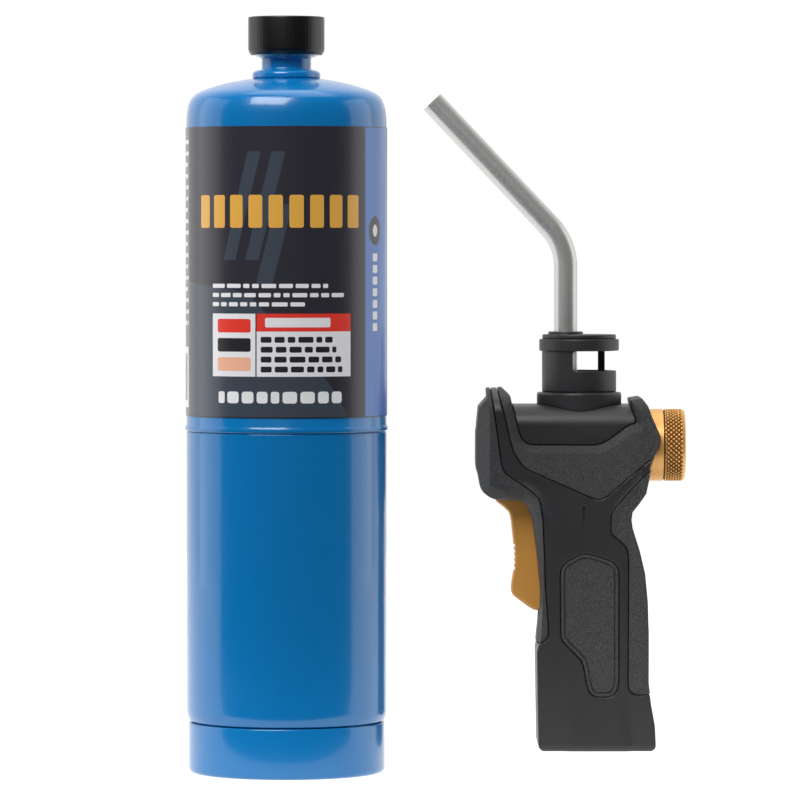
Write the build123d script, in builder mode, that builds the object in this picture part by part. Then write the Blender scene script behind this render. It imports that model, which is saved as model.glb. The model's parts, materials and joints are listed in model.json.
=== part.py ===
from build123d import *
import math
import os

os.makedirs("parts", exist_ok=True)

# Layout: the two standing objects, in millimetres. x right, y back, z up.
axis_gap_x = 116.9
axis_gap_y = 96.0

# Fuel cylinder
body_radius = 36.5
wall = 0.9
foot_radius = 35.8
foot_height = 18.6
bead_height = 125.7
bead_grow = 0.5
label_low = 130.3
label_high = 235.1
label_thick = 0.25
shoulder_height = 240.2
neck_top = 272.4
thread_major = 12.7
thread_minor = 12.08
cap_low = 261.1
cap_high = 275.5
cap_radius = 13.9

# Torch head
handle_half = 20.0
rim_round = 8.0
panel_rise = 0.8
panel_rim = 6.8
shell_wall = 2.6
barrel_top = 131.8
knob_height = 116.0
knob_radius = 13.75
knob_start = 17.0
knob_pocket = 16.6
knob_end = 33.3
stem_radius = 3.0
collar_x = -7.0
collar_radius = 14.2
tube_x = -12.15
tube_radius = 4.46
tube_wall = 0.7
bend_radius = 23.0
bend_height = 193.1
tip = (-62.4, 246.9)
trigger_half = 5.5
trigger_pivot = (-24.0, 103.0)
screw_spots = [(-32.5, 122.0), (12.0, 100.5), (-15.5, 40.0), (11.5, 50.5), (-8.0, 95.5)]

label_radius = body_radius + label_thick
bead_radius = body_radius + bead_grow
left_edge = -bead_radius
right_edge = axis_gap_x + knob_end
front_edge = -bead_radius
back_edge = axis_gap_y + handle_half + panel_rise
cyl_x = -(left_edge + right_edge) / 2
cyl_y = -(front_edge + back_edge) / 2
head_x = cyl_x + axis_gap_x
head_y = cyl_y + axis_gap_y

cyl_side = Plane(origin=(cyl_x, cyl_y, 0), x_dir=(1, 0, 0), z_dir=(0, -1, 0))
cyl_axis = Axis((cyl_x, cyl_y, 0), (0, 0, 1))
side = Plane(origin=(head_x, head_y, 0), x_dir=(1, 0, 0), z_dir=(0, -1, 0))
front = Plane(origin=(head_x, head_y, 0), x_dir=(0, 1, 0), z_dir=(1, 0, 0))
knob_axis = Axis((head_x, head_y, knob_height), (1, 0, 0))


def level(x, y, z):
    """Horizontal plane at a point of the torch head."""
    return Plane(origin=(head_x + x, head_y + y, z), x_dir=(1, 0, 0), z_dir=(0, 0, 1))


def cyl_level(z):
    """Horizontal plane on the fuel cylinder's axis."""
    return Plane(origin=(cyl_x, cyl_y, z), x_dir=(1, 0, 0), z_dir=(0, 0, 1))


def along(x, z):
    # Plane at a spot of the side view whose normal runs from the nose to the knob.
    return Plane(origin=(head_x + x, head_y, z), x_dir=(0, 1, 0), z_dir=(1, 0, 0))


def save(part, name):
    part.label = name
    export_step(part, "parts/" + name + ".step")


def rod(plane, radius, length, bore=0.0):
    """Round bar or tube along a plane's normal."""
    with BuildPart() as bar:
        with BuildSketch(plane):
            Circle(radius)
            if bore:
                Circle(bore, mode=Mode.SUBTRACT)
        extrude(amount=length)
    return bar.part


def plate(points, radii, low, high):
    """Closed outline in the head's side plane, extruded from y = low to y = high."""
    with BuildPart() as slab:
        with BuildSketch(side.offset(-low)):
            with BuildLine():
                FilletPolyline(*points, radius=radii, close=True)
            make_face()
        extrude(amount=low - high)
    return slab.part


def box(low, high):
    """Box between two corners given in the head's frame."""
    size = [high[i] - low[i] for i in range(3)]
    centre = [(high[i] + low[i]) / 2 for i in range(3)]
    return Pos(head_x + centre[0], head_y + centre[1], centre[2]) * Box(*size)


def coil(plane, radius, wire, length, turns):
    """Compression spring along a plane's normal."""
    with BuildPart() as spring:
        with BuildLine(plane):
            path = Helix(pitch=length / turns, height=length, radius=radius, direction=plane.z_dir)
        with BuildSketch(Plane(origin=path @ 0, z_dir=path % 0)):
            Circle(wire)
        sweep(path=path, is_frenet=True)
    return spring.part


# ---- Fuel cylinder ----

shoulder = [
    (36.5, shoulder_height), (35.9, 243.5), (34.9, 245.6), (31.8, 247.8), (26.5, 250.0),
    (17.5, 252.2), (12.4, 253.0), (10.2, 253.1),
]


def cylinder_foot_ring():
    with BuildPart() as foot:
        with BuildSketch(cyl_side):
            with BuildLine():
                Polyline(
                    (foot_radius - 5.0, 0), (foot_radius, 0), (foot_radius, foot_height - 0.3),
                    (foot_radius - 1.6, foot_height - 0.3), (foot_radius - 1.6, 2.4), (foot_radius - 5.0, 2.4), close=True,
                )
            make_face()
        revolve(axis=cyl_axis)
        outer = foot.edges().filter_by(GeomType.CIRCLE).group_by(Axis.Z)[0].sort_by(SortBy.RADIUS)[-1]
        fillet(outer, 2.0)
    save(foot.part, "cylinder_foot_ring")


def cylinder_lower_shell():
    with BuildPart() as lower:
        with BuildSketch(cyl_side):
            with BuildLine():
                Polyline(
                    (0, 6.0), (26.0, 8.0), (foot_radius - 2.2, 15.0), (foot_radius - 1.8, foot_height), (foot_radius, foot_height),
                    (body_radius, foot_height + 3.0), (body_radius, bead_height - 2.0), (body_radius - wall, bead_height - 2.0),
                    (body_radius - wall, foot_height + 4.0), (foot_radius - 2.8, foot_height + 0.6), (foot_radius - 3.2, 15.6),
                    (26.0, 9.0), (0, 7.0), close=True,
                )
            make_face()
        revolve(axis=cyl_axis)
    save(lower.part, "cylinder_lower_shell")


def cylinder_upper_shell():
    inner = [(radius - wall * 0.4, height - wall) for radius, height in reversed(shoulder[1:-1])]
    outline = [
        (body_radius, bead_height - 2.0), (body_radius + bead_grow, bead_height - 1.2), (body_radius + bead_grow, bead_height + 1.0),
        (body_radius, bead_height + 1.8),
    ]
    with BuildPart() as upper:
        with BuildSketch(cyl_side):
            with BuildLine():
                Polyline(
                    *outline, *shoulder, (10.2, 252.0), *inner, (body_radius - wall, shoulder_height - 0.5),
                    (body_radius - wall, bead_height - 2.0), close=True,
                )
            make_face()
        revolve(axis=cyl_axis)
        with BuildSketch(cyl_level(240)):
            with Locations((0, 21.0)):
                Circle(2.6)
        extrude(amount=20, mode=Mode.SUBTRACT)
    save(upper.part, "cylinder_upper_shell")


def cylinder_label():
    save(rod(cyl_level(label_low), label_radius, label_high - label_low, body_radius), "cylinder_label")


def cylinder_neck():
    with BuildPart() as neck:
        with BuildSketch(cyl_side):
            with BuildLine():
                Polyline(
                    (5.0, 248.0), (10.2, 248.0), (10.2, 253.1), (12.4, 253.1), (12.4, 255.0), (11.6, 255.9), (9.0, 256.2),
                    (9.0, 260.4), (thread_minor, 261.6), (thread_minor, neck_top - 0.6), (thread_minor - 0.6, neck_top),
                    (7.0, neck_top), (7.0, 266.0), (5.0, 266.0), close=True,
                )
            make_face()
        revolve(axis=cyl_axis)
        for turn in range(7):
            base = 262.2 + turn * 1.27
            with BuildSketch(cyl_side):
                with BuildLine():
                    Polyline(
                        (thread_minor - 0.1, base), (thread_major, base + 0.5), (thread_major, base + 0.66),
                        (thread_minor - 0.1, base + 1.16), close=True,
                    )
                make_face()
            revolve(axis=cyl_axis)
    save(neck.part, "cylinder_neck")


def cylinder_valve():
    with BuildPart() as core:
        with BuildSketch(cyl_side):
            with BuildLine():
                Polyline(
                    (3.4, 250.0), (5.0, 250.0), (5.0, 266.0), (6.9, 266.0), (6.9, 267.2), (1.6, 267.2), (1.6, 264.6),
                    (3.4, 264.6), close=True,
                )
            make_face()
        revolve(axis=cyl_axis)
    save(core.part, "cylinder_valve_core")
    save(rod(cyl_level(267.2), 5.6, 2.2, 2.4), "cylinder_valve_seal")
    with BuildPart() as pin:
        with BuildSketch(cyl_level(256.0)):
            Circle(1.5)
        extrude(amount=15.0)
        with BuildSketch(cyl_level(262.4)):
            Circle(3.2)
        extrude(amount=2.2)
    save(pin.part, "cylinder_valve_pin")
    save(coil(cyl_level(250.8), 2.6, 0.35, 11.0, 7), "cylinder_valve_spring")


def cylinder_relief_plug():
    spot = Plane(origin=(cyl_x, cyl_y + 21.0, 247.0), x_dir=(1, 0, 0), z_dir=(0, 0, 1))
    with BuildPart() as plug:
        with BuildSketch(spot):
            Circle(2.6)
        extrude(amount=5.4)
        with BuildSketch(spot.offset(5.4)):
            RegularPolygon(4.2, 6)
        extrude(amount=2.2)
    save(plug.part, "cylinder_relief_plug")


def cylinder_cap():
    with BuildPart() as cap:
        with BuildSketch(cyl_level(cap_low)):
            Circle(cap_radius)
        extrude(amount=cap_high - cap_low)
        chamfer(cap.edges().group_by(Axis.Z)[0], 1.0)
        fillet(cap.edges().group_by(Axis.Z)[-1], 0.8)
        with BuildSketch(cyl_level(cap_low)):
            Circle(thread_major + 0.1)
        extrude(amount=neck_top + 0.3 - cap_low, mode=Mode.SUBTRACT)
        with BuildSketch(cyl_level(cap_low + 1.4)):
            with PolarLocations(cap_radius + 0.25, 48):
                Circle(0.5)
        extrude(amount=cap_high - cap_low - 2.8, mode=Mode.SUBTRACT)
    save(cap.part, "cylinder_cap")


# ---- Torch head shell ----

core_points = [
    (-22.0, -20), (-23.1, 41.5), (-19.6, 46), (-20.4, 66), (-21.0, 88), (-22.2, 96.2), (-35.8, 104.6), (-38.2, 116),
    (-41.0, 150), (22.2, 150), (22.8, 118), (20.2, 101.8), (11.8, 87.5), (14.6, 76), (17.8, 58), (18.0, 26), (22.3, -20),
]
core_radii = [0, 2, 4, 20, 20, 8, 8, 10, 0, 0, 8, 10, 12, 14, 20, 20, 0]
grown_points = [
    (-22.6, -20), (-24.0, 40.0), (-22.8, 50.0), (-21.9, 60.0), (-25.4, 89.0), (-29.5, 95.5), (-40.5, 95.5), (-46.6, 105.0), (-46.6, 150),
    (23.2, 150), (23.9, 118), (21.2, 101.2), (13.0, 87.5), (15.4, 76), (18.9, 58), (18.9, 26), (23.1, -20),
]
grown_radii = [0, 20, 20, 20, 4, 2, 6, 10, 0, 0, 8, 9, 12, 14, 20, 20, 0]


def envelope(points, radii, half, rim, grow, top):
    """Rounded slab in the handle's outline, with a crowned top."""
    with BuildPart() as slab:
        with BuildSketch(side):
            with BuildLine():
                FilletPolyline(*points, radius=radii, close=True)
            make_face()
            if grow:
                offset(amount=grow)
        extrude(amount=half, both=True)
        rims = slab.edges().filter_by(lambda edge: abs(abs(edge.center().Y - head_y) - half) < 0.01)
        fillet(rims, rim)
        with BuildSketch(front):
            with BuildLine():
                Spline(
                    (-half - 0.2, 112), (-half + 0.1, 119), (-half + 1.4, 125), (-16, top - 2.0), (0, top), (16, top - 2.0),
                    (half - 1.4, 125), (half - 0.1, 119), (half + 0.2, 112),
                )
                Polyline((half + 0.2, 112), (half + 0.2, 0), (-half - 0.2, 0), (-half - 0.2, 112))
            make_face()
        extrude(amount=80, both=True, mode=Mode.INTERSECT)
    return slab.part


core = envelope(core_points, core_radii, handle_half, rim_round, 0, barrel_top)
hollow = envelope(core_points, core_radii, handle_half - shell_wall, rim_round - 1, -shell_wall, barrel_top - shell_wall)
grown = envelope(grown_points, grown_radii, handle_half + panel_rise, panel_rim, 0, barrel_top + 6.2)
skin = grown - core
left_half = box((-70, -40, -1), (60, 0, 160))
right_half = box((-70, 0, -1), (60, 40, 160))
middle = Plane(origin=(head_x, head_y, 0), z_dir=(0, 1, 0))

trigger_slot = box((-34, -trigger_half - 0.4, 50.5), (-16, trigger_half + 0.4, 109))
knob_hole = rod(along(13.0, knob_height), 8.5, 20) + rod(along(knob_pocket, knob_height), knob_radius + 0.35, 20)
tube_hole = rod(level(tube_x, 0, 120), 7.0, 30)


def across(x, z, y):
    # Plane at a spot of the side view whose normal runs from left to right.
    return Plane(origin=(head_x + x, head_y + y, z), x_dir=(1, 0, 0), z_dir=(0, 1, 0))


def screw_holes():
    holes = []
    for x, z in screw_spots:
        holes.append(rod(across(x, z, -14.0), 1.5, 29.5))
        holes.append(rod(across(x, z, 15.5), 3.0, 12.0))
    return holes


holes = screw_holes()


def shells():
    body = core - (hollow & box((-60, -40, 3.0), (60, 40, 160)))
    bosses = [rod(across(x, z, -17.8), 3.3, 35.6) & core for x, z in screw_spots]
    pivot_x, pivot_z = trigger_pivot
    for low in (-17.8, trigger_half + 0.4):
        bosses.append(rod(across(pivot_x, pivot_z, low), 4.0, 17.4 - trigger_half) & core)
    pocket_wall = rod(along(knob_pocket - 2.6, knob_height), knob_radius + 2.6, 8.0) & core
    body = body + bosses + [pocket_wall]
    body = body - rod(level(0, 0, -1), 15.5, 5)
    body = body - [trigger_slot, knob_hole, tube_hole, rod(across(pivot_x, pivot_z, -9), 1.5, 18)] - holes
    slit = plate([(-6.1, 93.5), (-5.4, 93.5), (-5.3, 74.0), (-6.0, 74.0)], 0.2, handle_half - 0.6, handle_half + 1)
    body = body - [slit, mirror(slit, about=middle)]
    save(body & left_half, "shell_left")
    save(body & right_half, "shell_right")


def side_panels():
    outline = [
        (-38.2, 137.6), (-36.4, 130.5), (-34.5, 123.0), (-32.9, 115.4), (-31.3, 112.2), (-26.8, 107.3), (-17.5, 103.2),
        (-4.0, 97.3), (-1.2, 96.0), (1.6, 96.2), (11.8, 104.9), (24.6, 115.0), (24.6, 119.0), (20.3, 126.6), (18.5, 131.3),
        (16.2, 134.2), (11.7, 133.3), (12.4, 131.3), (14.7, 124.8), (11.2, 124.2), (3.6, 118.4), (-0.5, 116.6),
        (-27.3, 117.0), (-29.6, 119.4), (-30.3, 121.3), (-31.9, 128.3), (-32.7, 131.6), (-33.8, 135.3), (-36.7, 138.2),
    ]
    panel = (skin & plate(outline, 0.6, -40, 0)) - knob_hole
    save(panel, "side_panel_left")
    save(mirror(panel, about=middle) - holes, "side_panel_right")


def rear_grip():
    outline = [
        (21.3, 108.1), (11.8, 99.1), (5.1, 91.2), (4.7, 88.5), (4.7, 83.3), (10.0, 78.6), (11.2, 76.3), (11.5, 71.8),
        (11.3, 24.6), (12.3, 22.6), (14.7, 21.5), (30.0, 21.5), (30.0, 108.1),
    ]
    save((skin & plate(outline, 0.6, -40, 40)) - holes - knob_hole, "rear_grip")


def front_bumper():
    outline = [
        (-30.0, 40.8), (-23.2, 40.8), (-20.3, 42.6), (-19.0, 44.8), (-20.3, 64.2), (-20.5, 72.2), (-21.0, 86.8), (-21.6, 92.1),
        (-22.3, 95.6), (-24.4, 97.9), (-29.1, 101.5), (-35.0, 105.2), (-36.7, 107.8), (-38.0, 115.4), (-39.1, 123.5),
        (-40.3, 131.5), (-41.2, 137.6), (-42.6, 137.7), (-42.3, 134.2), (-45.5, 130.6), (-46.6, 123.8), (-60.0, 118.0),
        (-60.0, 60.0),
    ]
    save((skin & plate(outline, 0.5, -40, 40)) - trigger_slot, "front_bumper")


def badges():
    outline = [
        (-5.6, 75.6), (4.8, 72.4), (7.5, 69.0), (7.5, 24.0), (5.0, 20.9), (-2.4, 20.9), (-4.4, 25.3), (-5.8, 34.5),
        (-14.3, 43.0), (-14.5, 69.0), (-12.8, 72.0),
    ]
    with BuildPart() as badge:
        with BuildSketch(side.offset(handle_half - 1)):
            with BuildLine():
                FilletPolyline(*outline, radius=1.2, close=True)
            make_face()
        extrude(amount=1.6)
        with BuildSketch(side.offset(handle_half + 0.35)) as line:
            with BuildLine():
                FilletPolyline(*outline, radius=1.2, close=True)
            make_face()
            offset(amount=-1.2)
            offset(amount=-0.4, mode=Mode.SUBTRACT)
        extrude(amount=1.0, mode=Mode.SUBTRACT)
    plate_left = badge.part - core
    save(plate_left, "badge_left")
    save(mirror(plate_left, about=middle), "badge_right")


def shell_screws():
    screws = []
    for x, z in screw_spots:
        with BuildPart() as screw:
            with BuildSketch(across(x, z, -13.0)):
                Circle(1.5)
            extrude(amount=28.5)
            with BuildSketch(across(x, z, 15.5)):
                Circle(2.8)
            extrude(amount=1.8)
            fillet(screw.edges().group_by(Axis.Y)[-1], 0.5)
            with BuildSketch(across(x, z, 16.3)):
                Rectangle(3.4, 0.7)
                Rectangle(0.7, 3.4)
            extrude(amount=2.0, mode=Mode.SUBTRACT)
        screws.append(screw.part)
    save(Compound(children=screws), "shell_screws")


# ---- Trigger and igniter ----


def trigger():
    outline = [
        (-40.0, 95.5), (-33.9, 90.3), (-33.0, 88.1), (-31.8, 77.8), (-31.3, 71.8), (-31.6, 68.4), (-32.6, 62.2), (-32.4, 59.4),
        (-24.9, 53.4), (-22.5, 52.8), (-19.0, 54.5), (-19.0, 88.0), (-21.4, 100.0), (-26.5, 100.0), (-29.1, 95.1),
    ]
    pivot_x, pivot_z = trigger_pivot
    with BuildPart() as lever:
        with BuildSketch(side):
            with BuildLine():
                FilletPolyline(*outline, radius=0.7, close=True)
            make_face()
        extrude(amount=trigger_half, both=True)
        sides = lever.edges().filter_by(lambda edge: abs(abs(edge.center().Y - head_y) - trigger_half) < 0.01)
        fillet(sides, 0.4)
        with BuildSketch(side):
            with Locations((pivot_x, pivot_z)):
                Circle(4.0)
        extrude(amount=trigger_half, both=True)
        with BuildSketch(side):
            with Locations((pivot_x, pivot_z)):
                Circle(1.55)
            for rib in range(5):
                with Locations((-31.75, 68.8 + rib * 2.175)):
                    Circle(0.6)
        extrude(amount=20, both=True, mode=Mode.SUBTRACT)
    save(lever.part, "trigger")
    save(rod(across(pivot_x, pivot_z, -9), 1.5, 18), "trigger_pin")


def piezo():
    height = 64.0
    with BuildPart() as case:
        with BuildSketch(along(-12.0, height)):
            RectangleRounded(9.2, 9.2, 1.0)
        extrude(amount=24.5)
        with BuildSketch(along(-12.0, height)):
            Rectangle(6.2, 6.2)
        extrude(amount=15.0, mode=Mode.SUBTRACT)
    save(case.part, "piezo_body")
    with BuildPart() as plunger:
        with BuildSketch(along(-17.2, height)):
            Rectangle(6.0, 6.0)
        extrude(amount=13.2)
        with BuildSketch(along(-18.7, height)):
            Circle(1.5)
        extrude(amount=1.6)
    save(plunger.part, "piezo_plunger")
    save(coil(along(-3.7, height), 2.2, 0.3, 6.4, 5), "piezo_spring")


def trigger_valve():
    height = 80.0
    with BuildPart() as block:
        with BuildSketch(along(-8.0, height)):
            Circle(5.0)
        extrude(amount=16.0)
        with BuildSketch(level(3.0, 7.5, height - 5.0)):
            RectangleRounded(8.0, 13.0, 1.5)
        extrude(amount=10.0)
        with BuildSketch(level(3.0, 10.8, height - 5.0)):
            Circle(2.0)
        extrude(amount=10.0, mode=Mode.SUBTRACT)
        with BuildSketch(along(-8.0, height)):
            Circle(1.55)
        extrude(amount=6.0, mode=Mode.SUBTRACT)
        with BuildSketch(along(-4.0, height)):
            Circle(3.0)
        extrude(amount=10.0, mode=Mode.SUBTRACT)
    save(block.part, "trigger_valve_body")
    with BuildPart() as slider:
        with BuildSketch(along(-18.7, height)):
            Circle(1.5)
        extrude(amount=18.0)
        with BuildSketch(along(-2.5, height)):
            Circle(2.8)
        extrude(amount=2.0)
    save(slider.part, "trigger_valve_rod")
    save(coil(along(-0.2, height), 2.1, 0.3, 5.9, 5), "trigger_valve_spring")


def igniter():
    lower = [
        (9, 0, 68.7), (9, 0, 70.0), (9, -11.3, 76), (0, -11.3, 98), (-10.5, -11.3, 112), (tube_x, -9.0, 118),
        (tube_x, -5.8, 134), (tube_x, -2, 144), (tube_x, -2, 150),
    ]
    points = [(head_x + x, head_y + y, z) for x, y, z in lower]
    with BuildPart() as wire:
        with BuildLine():
            path = Polyline(*points)
        with BuildSketch(Plane(origin=path @ 0, z_dir=path % 0)):
            Circle(0.6)
        sweep(path=path, transition=Transition.ROUND)
        with BuildLine(side.offset(2.0)):
            rest = FilletPolyline((tube_x, 150), (tube_x, bend_height), along_tip(-22), radius=bend_radius)
        with BuildSketch(Plane(origin=rest @ 0, z_dir=rest % 0)):
            Circle(0.6)
        sweep(path=rest)
    save(wire.part, "igniter_wire")
    save(rod(tip_plane(-22, -2.0), 1.2, 16, 0.5), "electrode_insulator")
    save(rod(tip_plane(-22, -2.0), 0.5, 20), "spark_electrode")


# ---- Burner tube and collar ----

tip_run = math.hypot(tip[0] - tube_x, tip[1] - bend_height)
tip_dir = ((tip[0] - tube_x) / tip_run, (tip[1] - bend_height) / tip_run)


def along_tip(distance):
    # Point on the tube's centre line, measured from its open end.
    return (tip[0] + distance * tip_dir[0], tip[1] + distance * tip_dir[1])


def tip_plane(distance, y):
    x, z = along_tip(distance)
    return Plane(origin=(head_x + x, head_y + y, z), x_dir=(0, 1, 0), z_dir=(tip_dir[0], 0, tip_dir[1]))


def burner_tube():
    with BuildPart() as tube:
        with BuildLine(side):
            path = FilletPolyline((tube_x, 141.0), (tube_x, bend_height), tip, radius=bend_radius)
        with BuildSketch(level(tube_x, 0, 141.0)):
            Circle(tube_radius)
            Circle(tube_radius - tube_wall, mode=Mode.SUBTRACT)
        sweep(path=path)
    save(tube.part, "burner_tube")
    with BuildPart() as holder:
        with BuildSketch(tip_plane(-14, 0)):
            Circle(tube_radius - tube_wall)
            with Locations((-2.0, 0)):
                Circle(1.2, mode=Mode.SUBTRACT)
            for turn in range(-2, 3):
                angle = math.radians(turn * 48)
                with Locations((2.3 * math.cos(angle), 2.3 * math.sin(angle))):
                    Circle(0.65, mode=Mode.SUBTRACT)
        extrude(amount=2.5)
    save(holder.part, "flame_holder")


def collar():
    with BuildPart() as base:
        with BuildSketch(level(collar_x, 0, 120)):
            Circle(16.15)
        extrude(amount=16.3)
        fillet(base.edges().group_by(Axis.Z)[-1], 0.8)
    save(base.part - core - tube_hole, "collar_base")
    edge = collar_x - collar_radius * math.sin(math.radians(11.5))
    window = plate([(edge, 144.5), (40, 144.5), (40, 152.0), (edge, 152.0)], 1.3, -30, 30)
    ring = rod(level(collar_x, 0, 136.3), collar_radius, 16.5, 12.0) + rod(level(collar_x, 0, 152.8), 15.24, 3.8, 12.0)
    save(ring - window, "air_collar")
    with BuildPart() as disc:
        with BuildSketch(level(collar_x, 0, 156.6)):
            Circle(14.1)
        extrude(amount=1.7)
        fillet(disc.edges().group_by(Axis.Z)[-1], 0.5)
        with BuildSketch(level(tube_x, 0, 158.3)):
            Circle(6.65)
        extrude(amount=1.1)
        with BuildSketch(level(1.5, 0, 136.3)):
            Rectangle(2.6, 3.4)
        extrude(amount=20.4)
        with BuildSketch(level(tube_x, 0, 150)):
            Circle(tube_radius)
        extrude(amount=20, mode=Mode.SUBTRACT)
    save(disc.part, "collar_top")


# ---- Gas path ----


def inlet():
    with BuildPart() as nut:
        with BuildSketch(level(0, 0, 1.5)):
            Circle(15.2)
        extrude(amount=19.5)
        with BuildSketch(level(0, 0, 3.0)):
            Circle(16.5)
        extrude(amount=3.0)
        with BuildSketch(level(0, 0, 1.5)):
            Circle(thread_minor)
        extrude(amount=8.9, mode=Mode.SUBTRACT)
        with BuildSketch(level(0, 0, 10.4)):
            Circle(thread_major + 0.3)
        extrude(amount=3.6, mode=Mode.SUBTRACT)
        with BuildSketch(level(0, 0, 1.5)):
            Circle(3.0)
        extrude(amount=30.0, mode=Mode.SUBTRACT)
    save(nut.part, "inlet_nut")
    save(rod(level(0, 0, 12.4), 9.2, 1.6, 6.2), "inlet_seal")
    pin = rod(level(0, 0, 10.6), 1.2, 7.9) + rod(level(0, 0, 18.0), 3.0, 1.8)
    save(pin, "inlet_pin")
    save(rod(level(0, 0, 19.8), 3.0, 1.2), "inlet_filter")


def regulator():
    with BuildPart() as lower:
        with BuildSketch(level(0, 0, 21.0)):
            Circle(13.5)
        extrude(amount=11.0)
        with BuildSketch(level(0, 0, 24.0)):
            Circle(8.0)
        extrude(amount=8.0, mode=Mode.SUBTRACT)
        with BuildSketch(level(0, 0, 21.0)):
            Circle(1.5)
        extrude(amount=4.0, mode=Mode.SUBTRACT)
        with BuildSketch(level(3.0, 10.8, 28.0)):
            Circle(2.0)
        extrude(amount=5.0, mode=Mode.SUBTRACT)
    save(lower.part, "regulator_body")
    save(rod(level(0, 0, 31.4), 8.0, 0.6), "regulator_diaphragm")
    bonnet = rod(level(0, 0, 32.0), 8.8, 2.0, 6.5) + rod(level(0, 0, 34.0), 8.5, 12.0) - rod(level(0, 0, 33.0), 6.5, 11.0)
    save(bonnet, "regulator_bonnet")
    save(coil(level(0, 0, 32.5), 4.8, 0.5, 11.0, 6), "regulator_spring")
    save(rod(level(3.0, 10.8, 28.0), 2.0, 49.0, 1.2), "riser_lower")
    save(rod(level(3.0, 10.8, 83.0), 2.0, 26.0, 1.2), "riser_upper")


def flame_valve():
    with BuildPart() as block:
        with BuildSketch(along(-19.0, knob_height)):
            Circle(6.2)
        extrude(amount=35.0)
        with BuildSketch(level(tube_x, 0, knob_height)):
            Circle(5.5)
        extrude(amount=11.0)
        with BuildSketch(level(3.0, 7.0, 109.0)):
            RectangleRounded(8.0, 14.0, 1.5)
        extrude(amount=8.0)
        with BuildSketch(along(-8.0, knob_height)):
            Circle(stem_radius + 0.05)
        extrude(amount=30.0, mode=Mode.SUBTRACT)
        with BuildSketch(level(tube_x, 0, 119.0)):
            Circle(2.0)
        extrude(amount=12.0, mode=Mode.SUBTRACT)
    save(block.part, "valve_body")
    with BuildPart() as jet:
        with BuildSketch(level(tube_x, 0, 119.0)):
            Circle(2.0)
        extrude(amount=8.0)
        with BuildSketch(level(tube_x, 0, 127.0)):
            RegularPolygon(3.6, 6)
        extrude(amount=6.0)
        with BuildSketch(level(tube_x, 0, 133.0)):
            Circle(1.6)
        extrude(amount=6.5)
        with BuildSketch(level(tube_x, 0, 119.0)):
            Circle(0.4)
        extrude(amount=30.0, mode=Mode.SUBTRACT)
    save(jet.part, "injector")
    with BuildPart() as gland:
        with BuildSketch(along(16.0, knob_height)):
            RegularPolygon(7.6, 6)
        extrude(amount=5.5)
        with BuildSketch(along(16.0, knob_height)):
            Circle(stem_radius + 0.05)
        extrude(amount=10.0, mode=Mode.SUBTRACT)
        with BuildSketch(along(16.0, knob_height)):
            Circle(4.7)
        extrude(amount=1.7, mode=Mode.SUBTRACT)
    save(gland.part, "packing_nut")
    with BuildPart() as ring:
        with BuildSketch(Plane(origin=(head_x + 16.85, head_y, knob_height), x_dir=(0, 1, 0), z_dir=(0, 0, 1))):
            with Locations((3.87, 0)):
                Circle(0.8)
        revolve(axis=knob_axis)
    save(ring.part, "stem_o_ring")
    stem = rod(along(-4.0, knob_height), stem_radius, 35.5) + rod(along(-7.5, knob_height), 1.4, 4.0)
    save(stem, "valve_stem")


def knob():
    with BuildPart() as cap:
        with BuildSketch(along(knob_start, knob_height)):
            Circle(knob_radius)
        extrude(amount=knob_end - knob_start)
        fillet(cap.edges().group_by(Axis.X)[-1], 1.0)
        with BuildSketch(along(25.0, knob_height)):
            Circle(knob_radius + 1)
            Circle(knob_radius - 0.5, mode=Mode.SUBTRACT)
        extrude(amount=0.6, mode=Mode.SUBTRACT)
        for row in range(3):
            with BuildSketch(along(27.1 + row * 1.65, knob_height)):
                Circle(knob_radius + 1)
                Circle(knob_radius - 0.35, mode=Mode.SUBTRACT)
            extrude(amount=0.35, mode=Mode.SUBTRACT)
        with BuildSketch(along(25.6, knob_height)):
            with PolarLocations(knob_radius + 0.1, 44):
                Circle(0.5)
        extrude(amount=6.6, mode=Mode.SUBTRACT)
        with BuildSketch(along(knob_start, knob_height)):
            Circle(10.5)
        extrude(amount=5.2, mode=Mode.SUBTRACT)
        with BuildSketch(along(knob_start + 5.2, knob_height)):
            Circle(10.5)
            Circle(5.5, mode=Mode.SUBTRACT)
        extrude(amount=6.6, mode=Mode.SUBTRACT)
        with BuildSketch(along(knob_start, knob_height)):
            Circle(stem_radius)
        extrude(amount=31.5 - knob_start, mode=Mode.SUBTRACT)
    save(cap.part, "knob")


cylinder_foot_ring()
cylinder_lower_shell()
cylinder_upper_shell()
cylinder_label()
cylinder_neck()
cylinder_valve()
cylinder_relief_plug()
cylinder_cap()
shells()
side_panels()
rear_grip()
front_bumper()
badges()
shell_screws()
trigger()
piezo()
trigger_valve()
igniter()
burner_tube()
collar()
inlet()
regulator()
flame_valve()
knob()
print("parts written:", len(os.listdir("parts")))
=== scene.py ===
import json
import math
import random

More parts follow.
